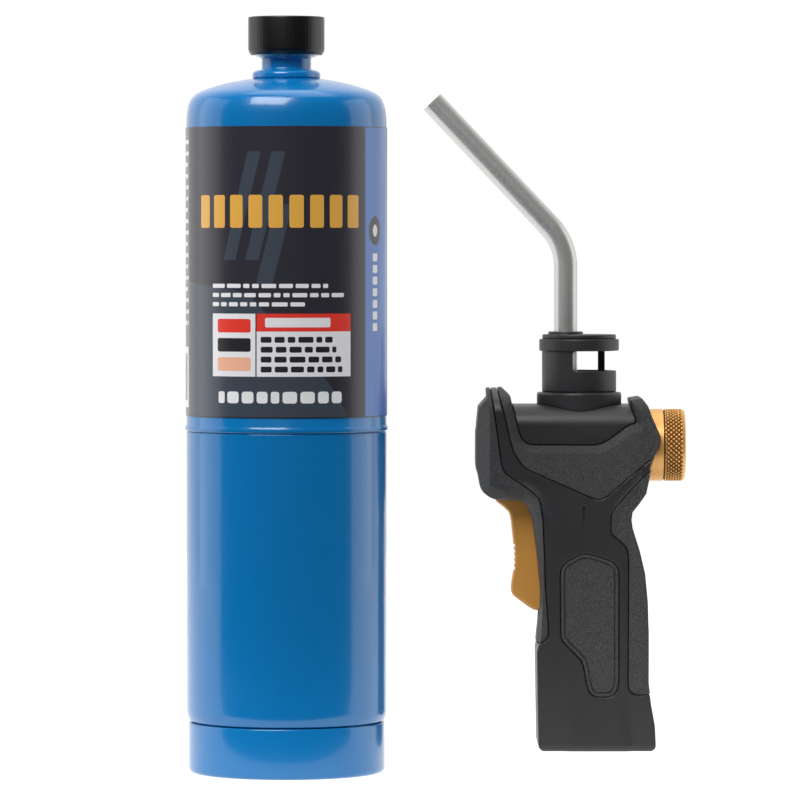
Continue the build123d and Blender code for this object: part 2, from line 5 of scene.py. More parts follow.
import bpy
import numpy as np
import openvdb
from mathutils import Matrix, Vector


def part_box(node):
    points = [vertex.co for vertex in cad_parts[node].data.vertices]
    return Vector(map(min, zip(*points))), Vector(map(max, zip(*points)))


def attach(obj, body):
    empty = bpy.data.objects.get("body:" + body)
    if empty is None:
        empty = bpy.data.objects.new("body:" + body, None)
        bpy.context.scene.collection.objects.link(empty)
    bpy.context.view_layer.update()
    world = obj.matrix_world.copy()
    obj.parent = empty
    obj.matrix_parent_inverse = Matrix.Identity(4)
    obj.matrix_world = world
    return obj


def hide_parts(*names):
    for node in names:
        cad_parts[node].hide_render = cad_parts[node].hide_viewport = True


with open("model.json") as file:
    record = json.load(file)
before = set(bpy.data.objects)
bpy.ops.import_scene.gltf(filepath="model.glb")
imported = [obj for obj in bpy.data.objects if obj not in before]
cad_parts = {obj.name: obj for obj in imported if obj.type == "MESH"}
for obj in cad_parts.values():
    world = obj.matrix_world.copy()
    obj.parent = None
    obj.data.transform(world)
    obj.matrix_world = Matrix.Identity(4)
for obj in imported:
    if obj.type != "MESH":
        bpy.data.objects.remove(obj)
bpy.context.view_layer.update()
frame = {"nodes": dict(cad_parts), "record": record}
mm = 0.001


def middle(node):
    low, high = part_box(node)
    return (low + high) / 2 / mm


cylX, cylY = middle("cylinder_neck").x, middle("cylinder_neck").y
headX, headY = middle("inlet_nut").x, middle("inlet_nut").y
print("frame loaded")


# colours and materials


def colour(text):
    parts = [int(text[i : i + 2], 16) / 255 for i in (0, 2, 4)]
    return [*[p / 12.92 if p < 0.04045 else ((p + 0.055) / 1.055) ** 2.4 for p in parts], 1.0]


def addNode(tree, kind, values=None, links=None, **settings):
    node = tree.nodes.new("ShaderNode" + kind)
    for key, value in settings.items():
        setattr(node, key, value)
    for key, value in (values or {}).items():
        node.inputs[key].default_value = value
    for key, socket in (links or {}).items():
        tree.links.new(socket, node.inputs[key])
    return node


def newMaterial(name, base, **values):
    material = bpy.data.materials.new(name)
    material.use_nodes = True
    shader = material.node_tree.nodes["Principled BSDF"]
    shader.inputs["Base Color"].default_value = colour(base)
    for key, value in values.items():
        shader.inputs[key.replace("_", " ")].default_value = value
    return material, material.node_tree, shader


def ramp(tree, socket, stops):
    node = addNode(tree, "ValToRGB", links={"Fac": socket})
    node.color_ramp.elements[0].position, node.color_ramp.elements[0].color = stops[0]
    node.color_ramp.elements[1].position, node.color_ramp.elements[1].color = stops[-1]
    for place, shade in stops[1:-1]:
        node.color_ramp.elements.new(place).color = shade
    return node.outputs["Color"]


def grey(value):
    return (value, value, value, 1.0)


def place(tree, scale=(1, 1, 1)):
    coords = addNode(tree, "TexCoord")
    mapping = addNode(tree, "Mapping", links={"Vector": coords.outputs["Object"]})
    mapping.inputs["Scale"].default_value = scale
    return mapping.outputs["Vector"]


def addBump(tree, shader, height, distance):
    bump = addNode(tree, "Bump", {"Distance": distance}, {"Height": height})
    tree.links.new(bump.outputs["Normal"], shader.inputs["Normal"])


def makePaint():
    # gloss enamel on drawn steel: a faint orange peel breaks up the long reflections
    material, tree, shader = newMaterial(
        "gloss enamel", "0072B4", Roughness=0.24, Coat_Weight=0.4, Coat_Roughness=0.06,
    )
    peel = addNode(tree, "TexNoise", {"Scale": 330.0, "Detail": 2.0}, {"Vector": place(tree)})
    addBump(tree, shader, peel.outputs["Fac"], 0.00003)
    dust = addNode(tree, "TexNoise", {"Scale": 45.0, "Detail": 6.0}, {"Vector": place(tree)})
    rough = ramp(tree, dust.outputs["Fac"], [(0.35, grey(0.19)), (0.75, grey(0.28))])
    tree.links.new(rough, shader.inputs["Roughness"])
    return material


def makeFilm(base, name):
    # printed polypropylene film: satin, with a very fine stretch grain
    material, tree, shader = newMaterial(name, base, Roughness=0.34, Coat_Weight=0.35, Coat_Roughness=0.2)
    grain = addNode(tree, "TexNoise", {"Scale": 900.0, "Detail": 3.0}, {"Vector": place(tree, (1, 1, 0.4))})
    addBump(tree, shader, grain.outputs["Fac"], 0.00002)
    return material


def makePlastic(name, base, rough, grainScale, grainHeight, coat=0.0):
    # moulded plastic: fine mould grain under a soft sheen
    material, tree, shader = newMaterial(name, base, Roughness=rough, Coat_Weight=coat)
    grain = addNode(tree, "TexNoise", {"Scale": grainScale, "Detail": 4.0}, {"Vector": place(tree)})
    addBump(tree, shader, grain.outputs["Fac"], grainHeight)
    wear = addNode(tree, "TexNoise", {"Scale": 60.0, "Detail": 5.0}, {"Vector": place(tree)})
    spread = ramp(tree, wear.outputs["Fac"], [(0.3, grey(rough - 0.05)), (0.75, grey(rough + 0.07))])
    tree.links.new(spread, shader.inputs["Roughness"])
    return material


def makeOvermould():
    # sparked overmould: raised specks of about half a millimetre catch the light one by one
    material, tree, shader = newMaterial("textured nylon overmould", "313131", Roughness=0.55)
    coords = place(tree)
    specks = addNode(tree, "TexNoise", {"Scale": 3000.0, "Detail": 1.0, "Roughness": 0.5}, {"Vector": coords})
    cells = addNode(tree, "TexVoronoi", {"Scale": 2600.0}, {"Vector": coords})
    both = addNode(
        tree, "Math", links={0: specks.outputs["Fac"], 1: cells.outputs["Distance"]}, operation="ADD",
    )
    addBump(tree, shader, both.outputs["Value"], 0.00018)
    shade = ramp(
        tree, specks.outputs["Fac"],
        [(0.32, colour("1A1A1A")), (0.5, colour("2C2C2C")), (0.7, colour("484848"))],
    )
    tree.links.new(shade, shader.inputs["Base Color"])
    return material


def makeMetal(name, base, rough, stretch=(1, 1, 1), scale=700.0, height=0.000008, spread=0.07, metallic=1.0):
    # metal: drawn or turned marks run along the stretched direction
    material, tree, shader = newMaterial(name, base, Metallic=metallic, Roughness=rough)
    coords = place(tree, stretch)
    marks = addNode(tree, "TexNoise", {"Scale": scale, "Detail": 5.0}, {"Vector": coords})
    rougher = ramp(tree, marks.outputs["Fac"], [(0.3, grey(rough - spread)), (0.7, grey(rough + spread))])
    tree.links.new(rougher, shader.inputs["Roughness"])
    addBump(tree, shader, marks.outputs["Fac"], height)
    return material


paint = makePaint()
charcoalFilm = makeFilm("2B2A34", "charcoal printed film")
slateFilm = makeFilm("3C4552", "slate printed film")
goldFilm = makeFilm("E8AE4A", "gold printed film")
whiteFilm = makeFilm("EDEDF0", "white printed film")
redFilm = makeFilm("E8392C", "red printed film")
blueFilm = makeFilm("4577C4", "blue printed film")
inkFilm = makeFilm("222127", "black printed film")
salmonFilm = makeFilm("F2B79A", "salmon printed film")
greyFilm = makeFilm("6E6C70", "grey printed film")
capPlastic = makePlastic("black polyethylene", "060606", 0.34, 800.0, 0.00001)
nylon = makePlastic("moulded nylon", "272727", 0.42, 1100.0, 0.000012)
collarNylon = makePlastic("glass filled nylon", "252525", 0.46, 1200.0, 0.00002)
overmould = makeOvermould()
goldAbs = makePlastic("gold ABS", "CF9141", 0.36, 900.0, 0.000012, 0.15)
goldAluminium = makeMetal("gold anodised aluminium", "EBA848", 0.3, (1, 1, 1), 900.0)
stainless = makeMetal("satin stainless steel", "CFCECB", 0.33, (1, 1, 0.3), 1500.0, 0.000002, 0.03, 0.72)
brass = makeMetal("machined brass", "D9B56A", 0.28, (1, 1, 4), 500.0)
plated = makeMetal("zinc plated steel", "C8C9C6", 0.3)
springSteel = makeMetal("music wire", "8E8E90", 0.35)
bronze = makeMetal("sintered bronze", "A9814A", 0.55, (1, 1, 1), 2600.0, 0.0001)
rubber = makePlastic("nitrile rubber", "17171A", 0.6, 700.0, 0.00003)
ceramic = makePlastic("alumina ceramic", "F0ECE2", 0.25, 500.0, 0.00001, 0.4)
insulation = makePlastic("silicone insulation", "A3271F", 0.45, 600.0, 0.00002)

slotMaterials = {
    "painted_steel": paint,
    "printed_film": charcoalFilm,
    "plated_steel": plated,
    "brass": brass,
    "black_polythene": capPlastic,
    "moulded_nylon": nylon,
    "textured_overmould": overmould,
    "gold_anodised_aluminium": goldAluminium,
    "gold_abs": goldAbs,
    "stainless_steel": stainless,
    "spring_steel": springSteel,
    "nitrile_rubber": rubber,
    "black_nylon": collarNylon,
    "ceramic": ceramic,
    "wire_insulation": insulation,
    "sintered_bronze": bronze,
}
for entry in frame["record"]["subparts"]:
    mesh = frame["nodes"][entry["node"]].data
    mesh.materials.clear()
    mesh.materials.append(slotMaterials[entry["material_slot"]])
print("materials made")


# mesh helpers


def newPiece(name, points, faces, body, nodes, material):
    mesh = bpy.data.meshes.new(name)
    mesh.from_pydata(points, [], faces)
    mesh.validate()
    piece = bpy.data.objects.new(name, mesh)
    bpy.context.scene.collection.objects.link(piece)
    mesh.materials.append(material)
    mesh.shade_smooth()
    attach(piece, body)
    if nodes:
        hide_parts(*nodes)
    return piece


def roundPath(points, radius, steps=6):
    # replaces each corner of an open path by an arc
    result = [points[0]]
    for before, corner, after in zip(points, points[1:], points[2:]):
        b, c, a = Vector(before), Vector(corner), Vector(after)
        reach = min(radius, (b - c).length * 0.48, (a - c).length * 0.48)
        start, end = c + (b - c).normalized() * reach, c + (a - c).normalized() * reach
        for i in range(steps + 1):
            t = i / steps
            result.append(tuple(start * (1 - t) ** 2 + c * 2 * t * (1 - t) + end * t**2))
    return result + [points[-1]]


def lathe(profile, centre, segments=192):
    # closed or open (radius, height) profile turned about a vertical axis
    count = len(profile)
    points, faces = [], []
    for i in range(segments):
        angle = 2 * math.pi * i / segments
        for radius, height in profile:
            points.append(
                (
                    (centre[0] + radius * math.cos(angle)) * mm, (centre[1] + radius * math.sin(angle)) * mm,
                    height * mm,
                )
            )
    for i in range(segments):
        j = (i + 1) % segments
        for k in range(count - 1):
            faces.append((i * count + k, j * count + k, j * count + k + 1, i * count + k + 1))
    return points, faces


def hardEdges(piece, angle=35):
    piece.data.set_sharp_from_angle(angle=math.radians(angle))


# fuel cylinder

cylinder = {
    "radius": 36.5,
    "footRadius": 35.8,
    "footTop": 18.4,
    "seam": 125.7,
    "labelLow": 130.3,
    "labelHigh": 235.1,
    "labelRadius": 36.75,
    "capLow": 261.7,
    "capHigh": 275.5,
    "capRadius": 13.9,
}
axis = (cylX, cylY)

foot = roundPath(
    [
        (30, 0), (cylinder["footRadius"], 0), (cylinder["footRadius"], cylinder["footTop"]),
        (cylinder["footRadius"] - 1.4, cylinder["footTop"]),
    ],
    2.2,
)
foot += [(cylinder["footRadius"] - 1.8, 3.0), (30, 3.0), (30, 0)]
points, faces = lathe(foot, axis)
footRing = newPiece("footRing", points, faces, "cylinder", ["cylinder_foot_ring"], paint)
hardEdges(footRing)

lower = roundPath(
    [
        (34.6, 18.7), (35.6, 19.0), (cylinder["radius"], 21.8), (cylinder["radius"], cylinder["seam"] - 1.4),
        (36.2, cylinder["seam"] - 1.2),
    ],
    1.4,
)
lower += [
    (35.4, cylinder["seam"] - 1.2), (35.4, 22), (33.0, 19), (32.6, 15.6), (26, 9), (0.01, 7), (0.01, 6),
    (26, 8), (33.6, 15), (34, 18.6), (34.6, 18.7),
]
points, faces = lathe(lower, axis)
lowerShell = newPiece(
    "lowerShell", points, faces, "cylinder", ["cylinder_lower_shell"], paint,
)
hardEdges(lowerShell)

bead = [
    (36.1, cylinder["seam"] - 1.1), (36.9, cylinder["seam"] - 0.8), (37.0, cylinder["seam"]),
    (36.9, cylinder["seam"] + 0.6), (36.5, cylinder["seam"] + 1.6),
]
shoulder = [
    (cylinder["radius"], 237.0), (36.3, 240.6), (35.7, 243.6), (34.6, 246.0), (32.6, 247.7), (29.6, 249.0),
    (26.0, 250.2), (22.0, 251.3), (17.5, 252.2), (13.2, 252.9), (10.2, 253.1), (10.2, 252.0),
]
upper = roundPath(bead, 0.5) + roundPath(shoulder, 2.0, 4) + [
    (17.4, 251.3), (31.4, 247.0), (35.0, 240), (35.4, 235), (35.4, 124), (36.1, 124.4),
    (36.1, cylinder["seam"] - 1.1),
]
points, faces = lathe(upper, axis)
upperShell = newPiece(
    "upperShell", points, faces, "cylinder", ["cylinder_upper_shell"], paint,
)
hardEdges(upperShell, 40)

neckPath = roundPath(
    [(10.2, 252.9), (12.4, 253.0), (12.4, 255.0), (11.4, 255.9), (9.0, 256.3), (9.0, 260.4), (12.1, 261.6)],
    0.7,
)
thread = []
for turn in range(8):
    low = 261.8 + turn * 1.27
    thread += [(12.08, low), (12.68, low + 0.5), (12.68, low + 0.68), (12.08, low + 1.18)]
neckPath += thread + [(11.4, 272.4), (7.0, 272.4), (7.0, 267.5)]
points, faces = lathe(neckPath, axis)
neck = newPiece("neck", points, faces, "cylinder", ["cylinder_neck"], paint)
hardEdges(neck, 40)
neck.data.materials.append(plated)
for face in neck.data.polygons:
    face.material_index = 1 if face.center.z > 0.2610 else 0

capSettings = {"flutes": 60, "depth": 0.05}
capPath = roundPath(
    [
        (12.85, cylinder["capLow"]), (cylinder["capRadius"] - 0.9, cylinder["capLow"]),
        (cylinder["capRadius"], cylinder["capLow"] + 1.5),
        (cylinder["capRadius"], cylinder["capHigh"] - 0.05), (12.6, cylinder["capHigh"]),
        (0.01, cylinder["capHigh"] - 0.3),
    ],
    0.9,
)
capPath += [(0.01, 272.8), (12.8, 272.8), (12.85, cylinder["capLow"])]
points, faces = lathe(capPath, axis, 480)
fluted = []
for index, (x, y, z) in enumerate(points):
    dx, dy = x / mm - cylX, y / mm - cylY
    radius = math.hypot(dx, dy)
    if radius > 13.85 and cylinder["capLow"] + 1.8 < z / mm < cylinder["capHigh"] - 0.8:
        angle = math.atan2(dy, dx)
        cut = capSettings["depth"] * (0.5 - 0.5 * math.cos(angle * capSettings["flutes"])) ** 3
        x, y = (cylX + dx * (1 - cut / radius)) * mm, (cylY + dy * (1 - cut / radius)) * mm
    fluted.append((x, y, z))
cap = newPiece("screwCap", fluted, faces, "cap", ["cylinder_cap"], capPlastic)
hardEdges(cap, 50)
print("cylinder turned")


# label: film plus flat printed shapes laid on it

filmPath = [
    (36.5, cylinder["labelLow"]), (cylinder["labelRadius"], cylinder["labelLow"] + 0.05),
    (cylinder["labelRadius"], cylinder["labelHigh"] - 0.05), (36.5, cylinder["labelHigh"]),
]
points, faces = lathe(filmPath, axis, 256)
label = newPiece("labelFilm", points, faces, "cylinder", ["cylinder_label"], charcoalFilm)
hardEdges(label)
printPoints, printFaces, printMaterials = [], [], []
inks = [charcoalFilm, slateFilm, goldFilm, whiteFilm, redFilm, blueFilm, inkFilm, salmonFilm, greyFilm]


def spans(outline, u):
    # heights where the vertical line at u crosses the outline
    heights = []
    for (u0, z0), (u1, z1) in zip(outline, outline[1:] + outline[:1]):
        if (u0 <= u < u1) or (u1 <= u < u0):
            heights.append(z0 + (z1 - z0) * (u - u0) / (u1 - u0))
    return sorted(heights)


def printShape(outline, ink, layer=1):
    # outline in mm: distance round the label from its front middle, and height
    radius = cylinder["labelRadius"] + 0.012 * layer
    low, high = min(p[0] for p in outline), max(p[0] for p in outline)
    inner = [u for u in {p[0] for p in outline} if low < u < high]
    steps = max(1, math.ceil((high - low) / 0.8))
    columns = sorted({low + (high - low) * i / steps for i in range(steps + 1)} | set(inner))
    for left, right in zip(columns, columns[1:]):
        if right - left < 1e-6:
            continue
        gap = (right - left) * 1e-4
        a, b = spans(outline, left + gap), spans(outline, right - gap)
        for k in range(0, min(len(a), len(b)) - 1, 2):
            base = len(printPoints)
            for u, z in ((left, a[k]), (right, b[k]), (right, b[k + 1]), (left, a[k + 1])):
                angle = u / cylinder["labelRadius"]
                printPoints.append(
                    ((cylX + radius * math.sin(angle)) * mm, (cylY - radius * math.cos(angle)) * mm, z * mm)
                )
            printFaces.append((base, base + 1, base + 2, base + 3))
            printMaterials.append(inks.index(ink))


def bar(u, z, width, height, ink, layer=1, corner=0.0):
    if corner:
        outline = []
        for cu, cz, first in (
            (u + width - corner, z + corner, -90), (u + width - corner, z + height - corner, 0),
            (u + corner, z + height - corner, 90), (u + corner, z + corner, 180),
        ):
            for step in range(5):
                angle = math.radians(first + step * 22.5)
                outline.append((cu + corner * math.cos(angle), cz + corner * math.sin(angle)))
    else:
        outline = [(u, z), (u + width, z), (u + width, z + height), (u, z + height)]
    printShape(outline, ink, layer)


def disc(u, z, radius, ink, layer=1, stretch=1.0):
    ring = [
        (u + radius * math.cos(i * math.pi / 12), z + radius * stretch * math.sin(i * math.pi / 12))
        for i in range(24)
    ]
    printShape(ring, ink, layer)


def wordRow(u, z, width, height, ink, layer, gap=0.9, seed=1):
    # a row of plain blocks that stands for a line of print
    draw = random.Random(seed)
    at = u
    while at < u + width - 1.0:
        length = min(draw.uniform(2.2, 6.0), u + width - at)
        bar(at, z, length, height, ink, layer, min(height, length) * 0.25)
        at += length + gap


labelPrint = {
    "bars": {"count": 9, "first": -35.7, "pitch": 7.5, "width": 5.2, "low": 198.6, "height": 11.8},
    "lines": {"left": -28.9, "top": 177.0, "pitch": 3.3, "height": 1.5, "widths": (45.0, 51.5, 37.5)},
    "panel": {"left": -28.9, "low": 145.2, "width": 54.5, "height": 22.6, "divide": -10.6, "band": 161.4},
    "panelLines": {
        "left": -8.6, "top": 157.4, "pitch": 3.55, "height": 2.1, "widths": (26.5, 28.0, 30.0, 30.5),
    },
    "colours": {"left": -26.4, "low": 147.2, "pitch": 6.9, "width": 14.0, "height": 4.9},
    "emblem": {"u": 39.6, "z": 197.6},
    "column": {"left": 37.9, "top": 186.5, "pitch": 4.2, "width": 3.4, "height": 2.9, "count": 7},
    "back": {"width": 26, "starts": {-1: 46, 1: 62}, "top": 229.0, "pitch": 4.1, "rows": 17},
    "stripes": {"count": 14, "pitch": 1.45, "low": 136.0, "height": 17.0},
}
front = cylinder["labelLow"]
printShape(
    [
        (-55, front + 0.4), (24.4, front + 0.4), (16.4, front + 12.5), (-12.5, front + 44), (-19, front + 46),
        (-55, front + 50),
    ],
    slateFilm,
)
for shift in (0.0, 9.0):
    printShape(
        [(-23.5 + shift, 187), (-18.5 + shift, 187), (-8.5 + shift, 226), (-13.5 + shift, 226)], slateFilm,
    )
printShape([(-10.5, 178), (-4.5, 178), (3.0, 207), (-3.0, 207)], slateFilm)
bars, panel = labelPrint["bars"], labelPrint["panel"]
for index in range(bars["count"]):
    bar(bars["first"] + index * bars["pitch"], bars["low"], bars["width"], bars["height"], goldFilm, 2, 0.8)
lines = labelPrint["lines"]
for row, width in enumerate(lines["widths"]):
    wordRow(
        lines["left"], lines["top"] - row * lines["pitch"], width, lines["height"], whiteFilm, 2, 1.0,
        row + 2,
    )
bar(panel["left"], panel["low"], panel["width"], panel["height"], whiteFilm, 2)
bar(panel["divide"], panel["low"], 0.45, panel["height"], inkFilm, 3)
bar(panel["divide"] + 0.45, panel["band"], 35.75, 6.4, redFilm, 3)
lines = labelPrint["panelLines"]
for row, width in enumerate(lines["widths"]):
    wordRow(
        lines["left"], lines["top"] - row * lines["pitch"], width, lines["height"], inkFilm, 3, 1.1, row + 9,
    )
bar(-7.0, panel["band"] + 1.5, 24.0, 3.4, whiteFilm, 4, 0.6)
blocks = labelPrint["colours"]
for row, ink in enumerate((salmonFilm, inkFilm, redFilm)):
    bar(blocks["left"], blocks["low"] + row * blocks["pitch"], blocks["width"], blocks["height"], ink, 3, 0.8)
wordRow(-26.0, 135.6, 48.0, 4.2, whiteFilm, 2, 1.2, 21)

printShape(
    [
        (33.2, front + 0.3), (53.0, front + 0.3), (53.0, cylinder["labelHigh"] - 0.3),
        (33.2, cylinder["labelHigh"] - 0.3),
    ],
    blueFilm,
)
emblem, column, back, stripes = (labelPrint[name] for name in ("emblem", "column", "back", "stripes"))
disc(emblem["u"], emblem["z"], 4.2, inkFilm, 2, 1.25)
disc(emblem["u"], emblem["z"], 1.6, whiteFilm, 3, 1.4)
for index in range(column["count"]):
    bar(
        column["left"], column["top"] - index * column["pitch"], column["width"], column["height"], whiteFilm,
        2, 0.5,
    )
for side, at in back["starts"].items():
    low, high = (-(at + back["width"]), -at) if side < 0 else (at, at + back["width"])
    printShape(
        [
            (low, front + 0.4), (high, front + 0.4), (high, cylinder["labelHigh"] - 0.4),
            (low, cylinder["labelHigh"] - 0.4),
        ],
        greyFilm, 2,
    )
    for row in range(back["rows"]):
        wordRow(low + 1.2, back["top"] - row * back["pitch"], 23.5, 1.5, whiteFilm, 3, 1.0, row + 40)
    bar(low + 1.5, 133.5, 23.0, 22.0, whiteFilm, 3)
    for stripe in range(stripes["count"]):
        left = low + 3.0 + stripe * stripes["pitch"]
        bar(left, stripes["low"], 0.5 + 0.35 * (stripe % 3), stripes["height"], inkFilm, 4)
prints = newPiece("labelPrint", printPoints, printFaces, "cylinder", [], inks[0])
for ink in inks[1:]:
    prints.data.materials.append(ink)
prints.data.polygons.foreach_set("material_index", printMaterials)
print("label printed")


# torch head body: soft solids written as distance fields, in mm from the middle of the handle's base


def softMax(a, b, blend):
    h = np.clip(0.5 + 0.5 * (a - b) / blend, 0, 1)
    return b + (a - b) * h + blend * h * (1 - h)


def softMin(a, b, blend):
    return -softMax(-a, -b, blend)


def roundMax(a, b, radius):
    # corner between two fields rounded with an arc
    p, q = a + radius, b + radius
    return np.minimum(np.maximum(p, q), 0) + np.sqrt(np.maximum(p, 0) ** 2 + np.maximum(q, 0) ** 2) - radius


def rounded(outline, times=2):
    # cuts the corners of a closed outline a few times, which turns each into a smooth bend
    for _ in range(times):
        cut = []
        for (x0, z0), (x1, z1) in zip(outline, outline[1:] + outline[:1]):
            reach = min(0.22, 1.8 / (math.hypot(x1 - x0, z1 - z0) + 1e-9))
            cut += [
                (x0 + (x1 - x0) * reach, z0 + (z1 - z0) * reach),
                (x1 + (x0 - x1) * reach, z1 + (z0 - z1) * reach),
            ]
        outline = cut
    return outline


def outlineField(grid, outline):
    # distance to a closed outline in the side view, negative inside
    x, z = grid["x"], grid["z"]
    nearest = np.full(x.shape, 1e9, np.float32)
    inside = np.zeros(x.shape, bool)
    for (x0, z0), (x1, z1) in zip(outline, outline[1:] + outline[:1]):
        ex, ez = x1 - x0, z1 - z0
        t = np.clip(((x - x0) * ex + (z - z0) * ez) / (ex * ex + ez * ez + 1e-12), 0, 1)
        nearest = np.minimum(nearest, (x - x0 - ex * t) ** 2 + (z - z0 - ez * t) ** 2)
        crosses = (z0 > z) != (z1 > z)
        inside ^= crosses & (x < (ex * (z - z0) / (ez if ez else 1e-12) + x0))
    field = np.sqrt(nearest)
    field[inside] *= -1
    return field[:, None, :]


def makeGrid(low, high, step):
    counts = [int(math.ceil((high[i] - low[i]) / step)) + 1 for i in range(3)]
    along = [np.float32(low[i]) + np.arange(counts[i], dtype=np.float32) * np.float32(step) for i in range(3)]
    x, z = np.meshgrid(along[0], along[2], indexing="ij")
    return {
        "low": low, "step": step, "shape": counts, "x": x, "z": z, "X": x[:, None, :],
        "Y": along[1][None, :, None], "Z": z[:, None, :],
    }


outlines = {
    "envelope": [
        (-22.4, -12), (-23.1, 18.3), (-23.5, 37.4), (-23.4, 42.0), (-22.6, 48.9), (-21.8, 59.6),
        (-23.4, 76.0), (-25.2, 89.0), (-26.8, 93.2), (-29.6, 95.4), (-39.7, 95.5), (-44.8, 99.2),
        (-45.4, 104.0), (-46.6, 107.6), (-46.5, 123.8), (-46.4, 150), (23.9, 150), (23.9, 118.0),
        (23.3, 114.8), (20.3, 109.2), (19.4, 103.4), (18.2, 98.0), (15.7, 94.4), (12.9, 91.0), (12.4, 88.0),
        (12.8, 85.0), (15.6, 75.7), (17.5, 67.6), (18.5, 57.3), (18.9, 45.1), (18.9, 26.0), (19.9, 18.0),
        (21.4, 9.6), (22.6, -12),
    ],
    "top": [
        (-60, -20), (-60, 118), (-46.4, 121.8), (-45.5, 130.6), (-42.3, 134.2), (-42.6, 137.7),
        (-36.7, 138.1), (-33.8, 135.3), (-30.0, 133.5), (8.0, 133.5), (11.7, 133.5), (16.2, 134.3),
        (18.5, 131.3), (20.3, 126.6), (23.6, 119.6), (40, 110), (40, -20),
    ],
    "core": [
        (-22.6, -12), (-23.2, 18.3), (-23.5, 38.0), (-21.9, 43.5), (-21.0, 64), (-21.4, 86), (-23.2, 95.0),
        (-29.8, 100.5), (-36.2, 104.3), (-38.0, 107.6), (-39.3, 115.4), (-41.0, 131.5), (-41.5, 160),
        (21.2, 160), (21.4, 122), (21.8, 115.2), (19.6, 109.3), (18.9, 103.4), (17.9, 98.1), (15.4, 94.5),
        (12.7, 91.1), (12.3, 88.1), (12.7, 85), (15.6, 75.7), (17.5, 67.6), (18.5, 57.3), (18.9, 45.1),
        (18.9, 26), (19.9, 18), (21.4, 9.6), (22.4, -12),
    ],
    "saddle": [
        (-32.7, 131.6), (-31.9, 128.3), (-30.3, 121.3), (-29.2, 118.9), (-27.3, 117.3), (-25.4, 116.7),
        (-0.5, 116.6), (3.6, 118.4), (11.2, 124.2), (14.4, 124.8), (12.4, 130.8), (11.7, 133.3), (11.7, 160),
        (-36.9, 160), (-36.7, 138.1), (-33.8, 135.3),
    ],
    "sidePanel": [
        (-38.2, 140), (-38.2, 137), (-36.4, 130.5), (-34.5, 123), (-32.9, 115.4), (-31.3, 112.2),
        (-29.2, 109.3), (-26.8, 107.3), (-17.5, 103.2), (-4, 97.3), (-1.6, 96.2), (1.3, 96.2), (3.9, 97.9),
        (11.8, 104.9), (25.5, 115.8), (25.5, 150), (12.0, 150), (12.0, 132.6), (14.7, 124.8), (11.2, 124.0),
        (3.6, 118.2), (-0.5, 116.4), (-25.4, 116.5), (-27.5, 117.1), (-29.4, 118.8), (-30.5, 121.3),
        (-32.1, 128.3), (-33.0, 131.6), (-34.0, 140),
    ],
    "rearGrip": [
        (40, 122), (22.4, 109.6), (11.8, 99.1), (5.1, 91.2), (4.7, 89.2), (4.7, 83.3), (5.9, 81.9),
        (10, 78.6), (11.2, 76.3), (11.5, 71.8), (11.3, 24.6), (12.3, 22.6), (14.7, 21.5), (19.4, 21.9),
        (40, 23.0),
    ],
    "bumper": [
        (-41.2, 150), (-41.2, 137.3), (-40.3, 131.5), (-39.1, 123.5), (-38, 115.4), (-37.2, 109.8),
        (-36.7, 107.4), (-35, 105.2), (-29.1, 101.5), (-24.4, 97.9), (-22.4, 95.6), (-21.8, 92.1),
        (-21.2, 86.8), (-20.7, 72.2), (-20.5, 64.2), (-19.1, 44.4), (-20.5, 42.4), (-23.2, 40.6), (-40, 40.6),
        (-70, 60), (-70, 150),
    ],
    "badge": [
        (-5.6, 75.6), (4.8, 72.4), (6.8, 70.3), (7.5, 68.3), (7.5, 25.3), (6.2, 22.2), (4.1, 20.9),
        (-1.4, 20.9), (-3.4, 22.6), (-4.4, 25.3), (-5.8, 33.5), (-7.1, 35.5), (-13.3, 41.7), (-14.3, 43.7),
        (-14.5, 68.3), (-13.6, 70.7), (-11.6, 72.4),
    ],
    "trigger": [
        (-40.2, 95.7), (-34.2, 91.0), (-33.2, 88.3), (-32.1, 77.8), (-31.8, 71.8), (-32.1, 68.4),
        (-33.1, 62.4), (-33.0, 59.4), (-31.4, 57.8), (-25.1, 53.2), (-22.5, 52.8), (-19.0, 54.5),
        (-19.0, 88.0), (-21.4, 99.0), (-27.6, 99.0), (-29.6, 95.7),
    ],
}
head = {
    "step": 0.34,
    "rim": 9.0,
    "barrelHalf": 18.4,
    "barrelTop": 131.8,
    "crown": 110.0,
    "gap": 0.26,
    "skin": 1.3,
    "wall": 2.6,
    "proud": 0.12,
    "overlap": 0.05,
    "noseHalf": 20.7,
    "noseStart": -41.2,
    "lipHalf": 20.5,
    "roofTop": 138.6,
    "roofCurve": 36.0,
    "roofCorner": 4.0,
    "flankSlope": 0.72,
    "crownCorner": 6.5,
    "baseCorner": 2.4,
    "knobHeight": 116,
    "knobWell": 14.1,
    "knobWellDeep": 16.6,
    "valveHole": 8.5,
    "valveHoleDeep": 13,
    "tubeX": -12.15,
    "inletBore": 15.5,
}


def halfDepth(z):
    # half the handle's thickness: widest in the barrel, narrowest at the palm
    return np.interp(
        z, [-12, 0, 20, 55, 85, 104, 118, 150], [20.0, 19.8, 18.7, 18.0, 18.9, 20.5, 20.65, 20.65],
    ).astype(np.float32)


